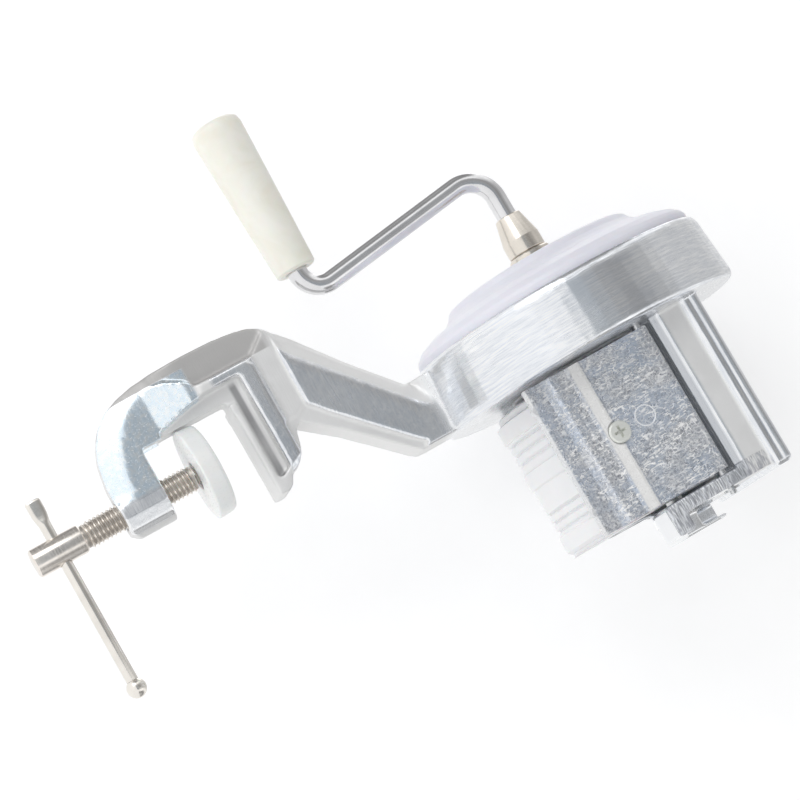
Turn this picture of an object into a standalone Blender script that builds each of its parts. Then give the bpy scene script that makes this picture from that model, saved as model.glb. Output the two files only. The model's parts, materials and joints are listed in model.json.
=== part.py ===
"""Rotary cheese grater with a table clamp: every separate piece as its own closed body.

The origin lies on the clamp screw axis in the plane of the upper jaw face.  +Z is up, the crank is
toward -Y, the press lever faces +X.  Metres.
"""
import bmesh
import bpy
import math
from mathutils import Vector

MM = 0.001

# ---- driving sizes, mm ----
AXIS_Z = 157.5            # height of the crank axis over the jaw face
RING_R = 75.2             # outer radius of the front ring at its back edge
RING_FRONT_R = 73.2
RING_BORE_R = 70.6
RING_FRONT_Y = 7.0
RING_BACK_Y = 40.0
THROAT_R = 42.0           # opening in the ring's back wall
CAP_R = 70.2
ROD_R = 4.76              # crank rod, 3/8 in
THROW_Z = 59.5            # height of the grip axis
DRUM_R = 35.0
DRUM_T = 0.8
AXLE_R = 4.0
STUB_R = 3.2
WALL_Y0 = 116.4           # rear end wall
WALL_Y1 = 122.5
HOPPER_TOP = 199.0
SHOE_R = 54.0
SHOE_BORE_R = 36.5
PIN_X = 45.2              # press lever hinge
PIN_Z = 170.0
PIN_R = 1.6
FRAME_HALF = 13.0         # half width of the arm and clamp frame
BOSS_TOP = -42.6
BOSS_BOTTOM = -64.8
THREAD_R = 6.3            # clamp screw, 1/2 in
THREAD_ROOT = 5.3
THREAD_PITCH = 2.117
BARREL_R = 6.75
BARREL_TOP = -83.7
BARREL_BOTTOM = -108.6
PAD_R = 21.8
BAR_Z = -95.5
BAR_R = 2.8
GAP = 0.3                 # running clearance between pieces

for old in list(bpy.data.objects):
    bpy.data.objects.remove(old, do_unlink=True)

PART = bpy.data.collections.new("rotary_cheese_grater")
TOOLS = bpy.data.collections.new("cutters")
bpy.context.scene.collection.children.link(PART)
bpy.context.scene.collection.children.link(TOOLS)


def material(name, color, metallic, roughness):
    mat = bpy.data.materials.new(name)
    mat.use_nodes = True
    shader = mat.node_tree.nodes["Principled BSDF"]
    shader.inputs["Base Color"].default_value = (*color, 1.0)
    shader.inputs["Metallic"].default_value = metallic
    shader.inputs["Roughness"].default_value = roughness
    return mat


MATS = {
    "cast": material("polished_casting", (0.83, 0.84, 0.85), 1.0, 0.22),
    "chrome": material("chromed_rod", (0.80, 0.80, 0.82), 1.0, 0.08),
    "nickel": material("nickel_plate", (0.74, 0.70, 0.64), 1.0, 0.2),
    "cap": material("white_cap", (0.84, 0.84, 0.90), 0.0, 0.4),
    "grip": material("ivory_grip", (0.92, 0.90, 0.80), 0.0, 0.4),
    "steel": material("stainless", (0.70, 0.71, 0.72), 1.0, 0.25),
    "diecast": material("raw_diecast", (0.60, 0.61, 0.63), 1.0, 0.5),
    "shoe": material("white_shoe", (0.92, 0.92, 0.92), 0.0, 0.45),
    "pad": material("pad_plastic", (0.90, 0.93, 0.94), 0.0, 0.35),
}


def finish(obj, mat, tool):
    obj.data.materials.clear()
    obj.data.materials.append(MATS[mat])
    (TOOLS if tool else PART).objects.link(obj)
    if tool:
        obj.hide_render = True
        obj.display_type = "WIRE"
    return obj


def lathe(name, profile, mat="cast", axis="Z", at=(0, 0, 0), steps=32, tool=False):
    """Turned body; profile is (radius, height) in mm down the outer side, closed if it has a bore."""
    mesh = bpy.data.meshes.new(name)
    pts = [(r * MM, 0.0, h * MM) for r, h in profile]
    edges = [(i, i + 1) for i in range(len(pts) - 1)]
    if profile[0][0] > 0:
        edges.append((len(pts) - 1, 0))
    mesh.from_pydata(pts, edges, [])
    obj = bpy.data.objects.new(name, mesh)
    obj.location = Vector(at) * MM
    if axis == "Y":
        obj.rotation_euler = (-math.pi / 2, 0, 0)
    if axis == "X":
        obj.rotation_euler = (0, math.pi / 2, 0)
    mod = obj.modifiers.new("Turn", "SCREW")
    mod.axis = "Z"
    mod.steps = steps
    mod.render_steps = steps
    mod.use_merge_vertices = True
    mod.merge_threshold = 0.00001
    mod.use_smooth_shade = False
    return finish(obj, mat, tool)


def prism(name, outline, low, high, mat="cast", axis="X", tool=False, bevel=0.0, soft=()):
    """Extruded outline in mm: (y, z) for axis X, (x, z) for Y, (x, y) for Z.

    The rim edges between the outline points in range(*soft) are rounded three times as much.
    """
    n = len(outline)
    area = sum(outline[i - 1][0] * outline[i][1] - outline[i][0] * outline[i - 1][1] for i in range(n))
    if (area < 0) != (axis == "Y"):
        outline = outline[::-1]
    spot = {"X": lambda h, a, b: (h, a, b), "Y": lambda h, a, b: (a, h, b), "Z": lambda h, a, b: (a, b, h)}[axis]
    verts = [spot(h, a, b) for h in (low, high) for a, b in outline]
    front = list(range(n - 1, -1, -1))
    faces = [front, [n + i for i in range(n)]]
    for i in range(n):
        j = (i + 1) % n
        faces.append([i, j, n + j, n + i])
    mesh = bpy.data.meshes.new(name)
    mesh.from_pydata([tuple(c * MM for c in v) for v in verts], [], faces)
    obj = bpy.data.objects.new(name, mesh)
    if bevel:
        mod = obj.modifiers.new("Edge", "BEVEL")
        mod.width = bevel * MM
        mod.segments = 2
        mod.limit_method = "ANGLE"
        mod.angle_limit = math.radians(50)
    if soft:
        mod.limit_method = "WEIGHT"
        mod.width = 3 * bevel * MM
        mod.segments = 3
        weight = mesh.attributes.new("bevel_weight_edge", "FLOAT", "EDGE")
        for edge in mesh.edges:
            a, b = (v % n for v in edge.vertices)
            rim = edge.vertices[0] // n == edge.vertices[1] // n
            inside = all(soft[0] <= k <= soft[1] for k in (a, b))
            weight.data[edge.index].value = (1.0 if inside else 0.33) if rim else 0.0
    return finish(obj, mat, tool)


def box(name, low, high, mat="cast", tool=True, bevel=0.0):
    outline = [(low[1], low[2]), (high[1], low[2]), (high[1], high[2]), (low[1], high[2])]
    return prism(name, outline, low[0], high[0], mat, "X", tool, bevel)


def rod(name, radius, low, high, axis="Z", at=(0, 0, 0), steps=24, mat="steel", tool=False):
    outline = [(0, high), (radius, high), (radius, low), (0, low)]
    return lathe(name, outline, mat, axis, at, steps, tool)


def boolean(obj, other, how="DIFFERENCE"):
    mod = obj.modifiers.new(other.name, "BOOLEAN")
    mod.operation = how
    mod.solver = "EXACT"
    mod.object = other


def arc(center, radius, start, end, count):
    """Points on a circle, angles in degrees."""
    out = []
    for i in range(count + 1):
        a = math.radians(start + (end - start) * i / count)
        out.append((center[0] + radius * math.cos(a), center[1] + radius * math.sin(a)))
    return out


# ---- one casting: ring, feed chamber, arm, clamp frame ----
FRAME = [
    (9.8, 85.7), (9.4, 75.2), (-11.9, 57), (-34, 39.8), (-38.5, 35.8), (-42.8, 30.8), (-46.3, 24),
    (-47.8, 17), (-48.8, 8), (-49.3, -6), (-49.0, -24), (-48.0, -34), (-46.2, -42), (-43.2, -49.4),
    (-38.2, -55.6), (-31.8, -60.1), (-25, -62.8), (-13.0, BOSS_BOTTOM),
    (9.5, BOSS_BOTTOM), (12.9, -61.5), (12.9, BOSS_TOP), (-9, BOSS_TOP), (-12.5, -43),
    (-15.8, -41.6), (-18.9, -38.1), (-20.4, -33), (-20.6, -24), (-18.9, -17.2), (-17.3, -10.6),
    (-16.7, -5), (-15.6, -1.8), (-13.6, 0), (26.9, 0), (26.9, 5), (25, 7.7), (20.8, 9.9),
    (20.1, 12.2), (18.3, 14.9), (15.1, 17.6), (11.5, 19.4), (4.8, 21.2), (2, 24), (15.3, 40.5),
    (37.4, 63.6), (39.7, 66.7), (39.7, 85.7),
]
# as-cast surfaces that lie below the ground faces: outline in YZ, half width that is left
SPINE = [(-60, 22), (-43, 31), (-34.2, 19.6), (-34.2, -8), (-38.5, -13), (-42.3, -20), (-43.6, -28),
         (-42.6, -42), (-39.5, -51), (-46, -62), (-60, -62)]
ARM_INSIDE = [(-4.2, 30.2), (-1.2, 24.6), (-0.6, 18), (12, 18), (60, 62), (60, 67.4), (40.4, 67.4),
              (37.2, 70.4), (33.8, 66.4), (6.2, 39.4)]
ARM_FOOT = [(-37, 19.1), (0.8, 19.1), (0.4, 25.2), (-2.9, 31.0), (-30.5, 31.4), (-44, 31.9)]
JAW_POCKET = [(-29.4, 10.4), (-29.2, -6), (-27.2, -18), (-24.4, -29), (-23.6, -33), (-21.4, -33), (-12, -30),
              (-12, -2.6), (-16.4, -2.6), (-19.4, 0.4), (-19.4, 3.4), (19.6, 3.4), (19.6, 6.2), (17.2, 10.4)]
BELLY = [(13.6, -10.5), (9.2, -32), (9.2, -70), (30, -70), (30, -10.5)]
BOSS_FACET = [(9.2, 2.6), (7.0, 9.0), (-1.0, 14.2), (30, 14.2), (30, 2.6)]
LEDGE = [(-33.5, -8), (-29.6, -8), (-29.6, 10.6), (17.6, 10.6), (15.3, 17.4), (-30, 18.4), (-33.5, 15.5)]

body = prism("body_casting", FRAME, -FRAME_HALF, FRAME_HALF, bevel=1.3, soft=(1, 16))
ring_profile = [
    (THROAT_R, RING_BACK_Y), (72.4, RING_BACK_Y), (74.4, 39.2), (RING_R, 37.2), (RING_FRONT_R, 11.2),
    (72.7, 9.1), (71.9, 7.7), (71.2, RING_FRONT_Y), (RING_BORE_R, 7.7), (RING_BORE_R, 33.0), (THROAT_R, 33.0),
]
boolean(body, lathe("ring_blank", ring_profile, axis="Y", at=(0, 0, AXIS_Z), steps=72, tool=True), "UNION")
FAR_WALL = [(38.7, 120), (100, 120), (119.3, 166), (119.3, 198.4), (38.7, 198.4)]
boolean(body, prism("far_wall", FAR_WALL, -50, -46, tool=True), "UNION")
NEAR_WALL = [(48.6, 174.8), (49.5, 174.8), (52.0, 179.2), (52.0, 198), (48.6, 198)]
boolean(body, prism("near_wall", NEAR_WALL, 38.4, 119.0, axis="Y", tool=True), "UNION")
GUARD = [(41.5, 168), (117.4, 168), (117.4, 186), (38.6, 186), (38.6, 176.6), (41.5, 176.6)]
boolean(body, prism("hinge_guard", GUARD, 38.6, 40.8, tool=True), "UNION")
END_WALL = [(-49.6, 165), (-30, 152), (-12, 147.8), (12, 147.8), (24, 140.5), (27, 137.4), (48.6, 137.4),
            (51.2, 140), (51.2, 197.6), (-49.6, 197.6)]
boolean(body, prism("end_wall", END_WALL, WALL_Y0, WALL_Y1, axis="Y", tool=True), "UNION")
boolean(body, box("end_foot", (24.6, 117.2, 137.7), (51.0, 130.8, 146.2), bevel=1.1), "UNION")
NEAR_LIP = [(49.0, 190.4), (52.4, 190.4), (54.0, 191.6), (54.3, 193.2), (53.5, 194.4), (54.4, 195.6),
            (54.6, 197.8), (53.6, HOPPER_TOP), (49.0, HOPPER_TOP)]
boolean(body, prism("near_lip", NEAR_LIP, 38.1, 124.2, axis="Y", tool=True), "UNION")
boolean(body, box("far_lip", (-53.2, 38.1, 190.9), (-46.4, 124.4, 199.2), bevel=1.2), "UNION")
boolean(body, box("rear_lip", (-52, 117.2, 191.3), (53, 125.3, 198.8), bevel=1.2), "UNION")
BLOCK = [(-9, 147), (9, 147), (13, 151), (13, 169.3), (9, 173.3), (-9, 173.3), (-13, 169.3), (-13, 151)]
boolean(body, prism("bearing_block", BLOCK, 118.0, 132.4, axis="Y", tool=True, bevel=1.2), "UNION")
boolean(body, prism("ledge", LEDGE, -13.9, 13.9, tool=True), "UNION")

for side in (-1, 1):
    for name, outline, half in (("spine", SPINE, 10.0), ("arm_inside", ARM_INSIDE, 10.6),
                                ("arm_foot", ARM_FOOT, 11.6), ("jaw_pocket", JAW_POCKET, 7.0)):
        low, high = sorted((side * half, side * 20.0))
        boolean(body, prism("%s_%d" % (name, side), outline, low, high, tool=True))
    belly = [(side * x, z) for x, z in BELLY]
    boolean(body, prism("belly_%d" % side, belly, -60, 20, axis="Y", tool=True))
    facet = [(side * max(x, 0.4), y) for x, y in BOSS_FACET]
    boolean(body, prism("boss_facet_%d" % side, facet, -66, -40, axis="Z", tool=True))
boolean(body, rod("pad_relief", 22.6, -42.9, -0.2, steps=48, tool=True))
boolean(body, rod("screw_hole", THREAD_R + GAP, -70, -38, steps=32, tool=True))
boolean(body, rod("bearing_hole", STUB_R + 0.4, 112, 136, "Y", (0, 0, AXIS_Z), tool=True))
boolean(body, box("bearing_pocket", (-5.2, 123.8, 160.3), (20, 130.6, 176)))
boolean(body, rod("hinge_bore", PIN_R + GAP, 28, 128, "Y", (PIN_X, 0, PIN_Z), 20, tool=True))

# ---- crank: bent rod, ferrule, collar, domed cap ----


def bent(points, radii, count=8):
    """Polyline in the YZ plane with rounded corners."""
    out = [Vector((0, *points[0]))]
    for i in range(1, len(points) - 1):
        here = Vector((0, *points[i]))
        into = (Vector((0, *points[i - 1])) - here).normalized()
        away = (Vector((0, *points[i + 1])) - here).normalized()
        half = into.angle(away) / 2
        radius = radii[i - 1]
        center = here + (into + away).normalized() * (radius / math.sin(half))
        a = here + into * (radius / math.tan(half)) - center
        b = here + away * (radius / math.tan(half)) - center
        sweep = a.angle(b)
        for k in range(count + 1):
            t = k / count
            turn = (a * math.sin((1 - t) * sweep) + b * math.sin(t * sweep)) / math.sin(sweep)
            out.append(center + turn)
    out.append(Vector((0, *points[-1])))
    return out


ROD_PATH = [(-27.0, AXIS_Z), (-61.3, AXIS_Z), (-46.9, THROW_Z), (-127.6, THROW_Z)]
curve = bpy.data.curves.new("crank_path", "CURVE")
curve.dimensions = "3D"
curve.bevel_depth = ROD_R * MM
curve.bevel_resolution = 5
curve.use_fill_caps = True
path = bent(ROD_PATH, (13.0, 10.0))
spline = curve.splines.new("POLY")
spline.points.add(len(path) - 1)
for point, co in zip(spline.points, path):
    point.co = (*(co * MM), 1.0)
swept = bpy.data.objects.new("crank_path", curve)
TOOLS.objects.link(swept)
bpy.context.view_layer.update()
mesh = bpy.data.meshes.new_from_object(swept.evaluated_get(bpy.context.evaluated_depsgraph_get()))
bpy.data.objects.remove(swept, do_unlink=True)
bm = bmesh.new()
bm.from_mesh(mesh)
bmesh.ops.remove_doubles(bm, verts=bm.verts, dist=0.00001)
bmesh.ops.recalc_face_normals(bm, faces=bm.faces)
bm.to_mesh(mesh)
bm.free()
crank_rod = finish(bpy.data.objects.new("crank_rod", mesh), "chrome", False)

BR = ROD_R + GAP
AB = AXLE_R + GAP
ferrule_profile = [
    (AB, -16.9), (8.7, -16.9), (9.1, -17.4), (9.1, -23.9), (6.3, -35.5), (5.9, -35.9), (BR, -35.9),
    (BR, -26.6), (AB, -26.2),
]
ferrule = lathe("crank_ferrule", ferrule_profile, "nickel", "Y", (0, 0, AXIS_Z), 32)
collar_profile = [(AB, -10.8), (9.5, -10.8), (10.1, -11.4), (10.1, -15.9), (9.5, -16.6), (AB, -16.6)]
collar = lathe("hub_collar", collar_profile, "nickel", "Y", (0, 0, AXIS_Z), 32)

cap_profile = [
    (AB, 35.7), (14.0, 35.7), (14.0, -8.0), (43.8, -8.0), (45.6, -4.2), (49.2, -2.0), (59.5, 0.4),
    (65.2, 2.6), (67.4, 6.0), (67.6, 14.0), (CAP_R, 14.0), (CAP_R, 4.6), (69.4, 2.9), (66.6, 0.4),
    (60.8, -1.9), (54.1, -3.2), (50.6, -5.0), (48.0, -7.0), (46.4, -9.4), (45.0, -10.3), (43.5, -10.5),
    (AB, -10.5),
]
cap = lathe("drive_cap", cap_profile, "cap", "Y", (0, 0, AXIS_Z), 64)

# ---- drum on its axle ----
axle_profile = [
    (0, 130.6), (2.6, 130.6), (STUB_R, 130.0), (STUB_R, 115.6), (AXLE_R, 115.6), (AXLE_R, -24.4),
    (3.4, -25.0), (0, -25.0),
]
axle = lathe("drum_axle", axle_profile, "steel", "Y", (0, 0, AXIS_Z), 24)
disc_profile = [(AB, 41.0), (41.0, 41.0), (41.5, 40.5), (41.5, 36.0), (AB, 36.0)]
disc = lathe("drum_front_disc", disc_profile, "shoe", "Y", (0, 0, AXIS_Z), 48)
shell_profile = [(DRUM_R - DRUM_T, 114.6), (DRUM_R, 114.6), (DRUM_R, 41.3), (DRUM_R - DRUM_T, 41.3)]
shell = lathe("drum_shell", shell_profile, "steel", "Y", (0, 0, AXIS_Z), 64)
R_IN = DRUM_R - DRUM_T - GAP
rim_profile = [(31.6, 113.4), (R_IN, 113.4), (R_IN, 110.0), (31.6, 110.0)]
spider = lathe("drum_rear_spider", rim_profile, "shoe", "Y", (0, 0, AXIS_Z), 48)
hub = [(0, 113.6), (8.0, 113.6), (8.0, 109.6), (0, 109.6)]
for k in range(3):
    spoke = box("spoke_%d" % k, (2.0, 110.6, -2.2), (32.6, 112.8, 2.2))
    spoke.rotation_euler = (0, math.radians(90 + 120 * k), 0)
    spoke.location = (0, 0, AXIS_Z * MM)
    boolean(spider, spoke, "UNION")
boolean(spider, lathe("spider_hub", hub, axis="Y", at=(0, 0, AXIS_Z), steps=28, tool=True), "UNION")
boolean(spider, rod("spider_bore", AB, 105, 118, "Y", (0, 0, AXIS_Z), 24, tool=True))

screw_profile = [(0, 43.6), (2.2, 43.6), (3.0, 42.8), (3.0, 41.3), (1.55, 41.3), (1.55, 25.5), (0, 24.8)]
screws = []
for k in range(3):
    angle = math.radians(90 + 120 * k)
    at = (9.4 * math.cos(angle), 0, AXIS_Z + 9.4 * math.sin(angle))
    bore = rod("screw_bore_%d" % (k + 1), 1.85, 24.2, 45, "Y", at, 16, tool=True)
    boolean(cap, bore)
    boolean(disc, bore)
    screws.append(lathe("cap_screw_%d" % (k + 1), screw_profile, "steel", "Y", at, 18))

# ---- grip spinning on the rod ----
grip_profile = [
    (BR, -59.7), (8.9, -59.7), (9.7, -60.5), (10.9, -95), (12.2, -130), (12.2, -133.2), (11.4, -135.8),
    (8.6, -137.3), (0.0, -137.7), (0.0, -129.2), (7.3, -129.2), (7.3, -124.2), (BR, -124.2),
]


def hollow_end(name, profile, mat, axis, at, steps, tool=False):
    """Turned body whose closed end meets the axis: open profile from one axis point to the other."""
    k = [i for i, p in enumerate(profile) if p[0] == 0.0]
    order = profile[k[1]:] + profile[:k[0] + 1]
    return lathe(name, order, mat, axis, at, steps, tool)


grip = hollow_end("grip", grip_profile, "grip", "Y", (0, 0, THROW_Z), 32)
washer = [(BR, -125.2), (6.6, -125.2), (6.6, -126.4), (BR, -126.4)]
retainer = lathe("grip_retainer", washer, "steel", "Y", (0, 0, THROW_Z), 24)

# ---- press lever, shoe, screw, hinge ----
lever_outline = arc((PIN_X, PIN_Z), 3.6, 0, 262, 14) + [
    (44.8, 112.0), (46.4, 108.6), (50.6, 108.6), (51.2, 109.3), (51.2, 111.4), (50.2, 112.3), (47.9, 114.2),
    (47.5, 117.2), (48.7, 120.6), (50.1, 122.2), (50.3, 123.0), (50.0, 123.9), (48.0, 126.6), (47.6, 130.0),
    (48.7, 133.6), (50.4, 135.0), (50.4, 137.6), (48.8, 138.4),
]
lever = prism("press_lever", lever_outline, 42.0, 114.2, "diecast", "Y")
SCREW_AT = (0, 77.8, 138.0)
seat = [(0, 53), (5.55, 53), (5.55, 49.6), (2.3, 46.4), (2.3, 33.2), (0, 33.2)]
seat_tool = lathe("screw_seat", seat, axis="X", at=SCREW_AT, steps=24, tool=True)
boolean(lever, seat_tool)
boolean(lever, rod("knuckle_bore", PIN_R + GAP, 40, 117, "Y", (PIN_X, 0, PIN_Z), 20, tool=True))
shoe_outline = arc((0, AXIS_Z), SHOE_BORE_R, 11, -104, 28) + arc((0, AXIS_Z), SHOE_R, -104, -34.6, 18)
shoe_outline += [(44.4, 164.6)]
shoe = prism("press_shoe", shoe_outline, 43.2, 114.6, "shoe", "Y")
boolean(shoe, seat_tool)
head = [(0, 50.2), (4.4, 50.1), (5.2, 49.4), (1.95, 46.2), (1.95, 34.4), (0, 33.6)]
press_screw = lathe("press_screw", head, "nickel", "X", SCREW_AT, 28)
cross_a = box("cross_a", (48.6, 77.2, 135.4), (52, 78.4, 140.6))
cross_b = box("cross_b", (48.5, 75.2, 137.4), (52, 80.4, 138.6))
boolean(press_screw, cross_a)
boolean(press_screw, cross_b)
pin_profile = [(0, 126.0), (1.2, 126.0), (PIN_R, 125.5), (PIN_R, 30.5), (1.2, 30.0), (0, 30.0)]
pin = lathe("hinge_pin", pin_profile, "steel", "Y", (PIN_X, 0, PIN_Z), 20)
for where, face in (("front", 32.9), ("rear", 124.2)):
    clip = [(PIN_R + GAP, face), (3.7, face), (3.7, face - 1.1), (PIN_R + GAP, face - 1.1)]
    lathe("hinge_clip_" + where, [(r, h) for r, h in clip], "steel", "Y", (PIN_X, 0, PIN_Z), 20)

# ---- clamp screw, pad, tommy bar ----
tip = [(0, -20.4), (4.4, -20.4), (5.3, -21.2), (5.3, -23.2), (4.0, -23.8), (4.0, -27.4), (THREAD_ROOT, -28.4)]
thread = []
level = -29.0
while level - THREAD_PITCH > BARREL_TOP + 1.0:
    thread += [(THREAD_ROOT, level), (THREAD_R, level - THREAD_PITCH * 0.42), (THREAD_R, level - THREAD_PITCH * 0.58)]
    level -= THREAD_PITCH
barrel = [
    (THREAD_ROOT, level), (THREAD_ROOT, BARREL_TOP), (6.1, BARREL_TOP), (BARREL_R, BARREL_TOP - 0.7),
    (BARREL_R, BARREL_BOTTOM + 1.2), (5.6, BARREL_BOTTOM + 0.3), (0, BARREL_BOTTOM),
]
clamp_screw = lathe("clamp_screw", tip + thread + barrel, "nickel", steps=18)
boolean(clamp_screw, rod("bar_hole", BAR_R + 0.4, -20, 20, "Y", (0, 0, BAR_Z), 20, tool=True))
pad_profile = [
    (0, -17.1), (18.6, -17.1), (20.4, -17.7), (21.3, -19.2), (PAD_R, -25.8), (21.3, -26.6), (6.6, -26.6),
    (6.6, -19.8), (0, -19.8),
]
pad = lathe("clamp_pad", pad_profile, "pad", steps=48)
ring_clip = [(4.4, -24.3), (6.25, -24.3), (6.25, -25.5), (4.4, -25.5)]
pad_retainer = lathe("pad_retainer", ring_clip, "steel", steps=24)
bar_profile = [(0, 69.0), (2.4, 69.0), (BAR_R, 68.6), (BAR_R, -17.0), (0, -17.0)]
bar = lathe("tommy_bar", bar_profile, "nickel", "Y", (0, 0, BAR_Z), 20)
boolean(bar, box("spade", (-1.7, -25.2, BAR_Z - 3.7), (1.7, -14.6, BAR_Z + 3.7), bevel=0.8), "UNION")
ball = [(0, 73.6)] + [(4.6 * math.sin(math.radians(a)), 69 + 4.6 * math.cos(math.radians(a)))
                      for a in range(18, 138, 12)] + [(BAR_R + GAP, 65.6), (BAR_R + GAP, 69.3), (0, 69.3)]
tommy_ball = lathe("tommy_ball", ball, "nickel", "Y", (0, 0, BAR_Z), 24)

# ---- pivots for the moving pieces ----


def pivot(name, at, children):
    empty = bpy.data.objects.new(name, None)
    empty.location = Vector(at) * MM
    empty.empty_display_size = 0.02
    PART.objects.link(empty)
    for child in children:
        child.parent = empty
        child.matrix_parent_inverse.translation = -Vector(at) * MM
    return empty


crank_axis = pivot("crank_axis", (0, 0, AXIS_Z), (
    crank_rod, ferrule, collar, cap, axle, disc, shell, spider, retainer, *screws))
grip_axis = pivot("grip_axis", (0, -98, THROW_Z), (grip,))
grip_axis.parent = crank_axis
grip_axis.matrix_parent_inverse.translation = -Vector((0, 0, AXIS_Z)) * MM
pivot("lever_axis", (PIN_X, 78, PIN_Z), (lever, shoe, press_screw))
screw_axis = pivot("screw_axis", (0, 0, -50), (clamp_screw,))
pivot("pad_axis", (0, 0, -17.1), (pad, pad_retainer))
bar_axis = pivot("bar_axis", (0, 0, BAR_Z), (bar, tommy_ball))
bar_axis.parent = screw_axis
bar_axis.matrix_parent_inverse.translation = Vector((0, 0, 50)) * MM
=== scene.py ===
"""Looks of the rotary cheese grater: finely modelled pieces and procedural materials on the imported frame."""

import json
import math
from types import SimpleNamespace

import bmesh
import bpy
from mathutils import Matrix, Vector

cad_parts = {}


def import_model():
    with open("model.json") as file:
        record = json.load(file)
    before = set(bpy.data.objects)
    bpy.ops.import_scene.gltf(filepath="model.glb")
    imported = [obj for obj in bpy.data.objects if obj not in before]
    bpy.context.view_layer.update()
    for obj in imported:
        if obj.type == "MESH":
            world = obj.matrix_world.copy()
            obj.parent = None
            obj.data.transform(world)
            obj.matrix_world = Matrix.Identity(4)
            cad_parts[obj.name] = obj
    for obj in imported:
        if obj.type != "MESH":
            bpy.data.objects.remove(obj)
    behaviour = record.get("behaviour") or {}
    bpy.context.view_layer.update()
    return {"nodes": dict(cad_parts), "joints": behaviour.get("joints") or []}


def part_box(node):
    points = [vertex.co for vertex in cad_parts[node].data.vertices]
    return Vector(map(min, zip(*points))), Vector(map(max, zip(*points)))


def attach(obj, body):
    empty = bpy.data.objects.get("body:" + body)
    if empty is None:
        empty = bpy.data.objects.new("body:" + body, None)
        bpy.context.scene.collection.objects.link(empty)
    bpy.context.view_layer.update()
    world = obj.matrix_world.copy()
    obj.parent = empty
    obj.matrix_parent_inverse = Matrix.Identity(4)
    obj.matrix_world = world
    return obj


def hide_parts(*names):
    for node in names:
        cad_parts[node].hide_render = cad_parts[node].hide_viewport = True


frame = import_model()
NODES = frame["nodes"]

MM = 0.001
X_AXIS = Vector((1, 0, 0))


def joint(name):
    return next(j for j in frame["joints"] if j["name"] == name)


def side(node, axis, high):
    """Lowest or highest coordinate of a CAD node, mm."""
    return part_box(node)[1 if high else 0][axis] / MM


AXIS_Z = joint("crank_spin")["pos_m"][2] / MM
GRIP_Z = joint("grip_spin")["pos_m"][2] / MM
PIN_X = joint("press_hinge")["pos_m"][0] / MM
PIN_Z = joint("press_hinge")["pos_m"][2] / MM
BAR_Z = (side("tommy_ball", 2, False) + side("tommy_ball", 2, True)) / 2
CRANK_AXIS = (0, 0, AXIS_Z)

# surface detail
LATHE_LINES = 2600.0    # fine lines per metre on turned metal
LATHE_TURN = 1.2        # how far a line runs round before it changes
MARK_Y, MARK_Z = 0.0769, 0.1519     # round ejector mark on the lever plate, m
MARK_R = 0.0046

# soft edges between the casting's finishes and its strips of painted shade: where a mask is 0 and where it is
# 1, m
BODY_EDGE = (0.078, 0.086)          # z, the arm ends and the ring and chamber begin
CHAMBER_EDGE = (0.0398, 0.0404)     # y, the ring ends and the chamber begins
PANEL_LOW = (0.1795, 0.1808)        # z, as-cast strip between the lever and the mouth
PANEL_HIGH = (0.1908, 0.1896)
SHADE_LOW = (0.1690, 0.1710)        # z, dull strip of painted shade under that one
SHADE_HIGH = (0.1786, 0.1776)
SHADE_FACE = (0.036, 0.038)         # x
ARM_FACE = (0.0119, 0.0124)         # |x|, ground faces of the arm and the jaw ledge
LEDGE_LOW = (0.0100, 0.0106)        # z
BACK_OF_JAW = (-0.0284, -0.0292)    # y
BACK_LOW = (-0.0035, -0.0010)       # z
BELLY_TOP = (-0.0095, -0.0110)      # z, the polished lower C
BELLY_BACK = (-0.0445, -0.0438)     # y
BELLY_FACE = (0.0074, 0.0078)       # |x|
FOOT_TOP = (-0.0330, -0.0345)       # z, its lowest part, which is thinner
FOOT_FACE = (0.0040, 0.0052)        # |x|
SPINE_FRONT = (-0.0338, -0.0344)    # y, the sunk spine with painted shade
SPINE_TOP = (0.030, 0.027)          # z
GROOVE_LOW = (0.0040, 0.0052)       # z, the groove under the jaw ledge, darkened with painted shade
GROOVE_HIGH = (0.0082, 0.0072)
GROOVE_FACE = (0.0126, 0.0116)      # |x|
GROOVE_BACK = (-0.029, -0.026)      # y
END_WALL = (0.1150, 0.1156)         # y, cut edge of the end wall
END_WALL_FACE = (0.0488, 0.0500)    # x
END_WALL_TOP = (0.1895, 0.1885)     # z
BEARING = (0.1180, 0.1186)          # y, the bearing block and the foot beside it
BEARING_FACE = (0.0490, 0.0484)     # x
BEARING_TOP = (0.1745, 0.1740)      # z
BOSS_BACK = (-0.0022, -0.0012)      # y, ground strip on the screw boss
BOSS_FRONT = (0.0030, 0.0025)
BOSS_TOP = (-0.040, -0.042)         # z
WEB_BACK = (-0.0024, -0.0034)       # y, the polished web ends at that strip
WEB_LOW = (-0.0425, -0.0415)        # z

# the same for the clamp screw's thread and the lever plate
THREAD_HIGH_EDGE = (-0.0282, -0.0286)       # z
THREAD_LOW_EDGE = (-0.0834, -0.0830)        # z
THREAD_ROOT_EDGE = (0.0057, 0.0052)         # radius
WIPED_LOW = (0.1316, 0.1324)                # z, bands that handling has wiped smooth
WIPED_HIGH = (0.1374, 0.1368)
WIPED_END = (0.1100, 0.1094)


# ---------------------------------------------------------------- materials


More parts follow.
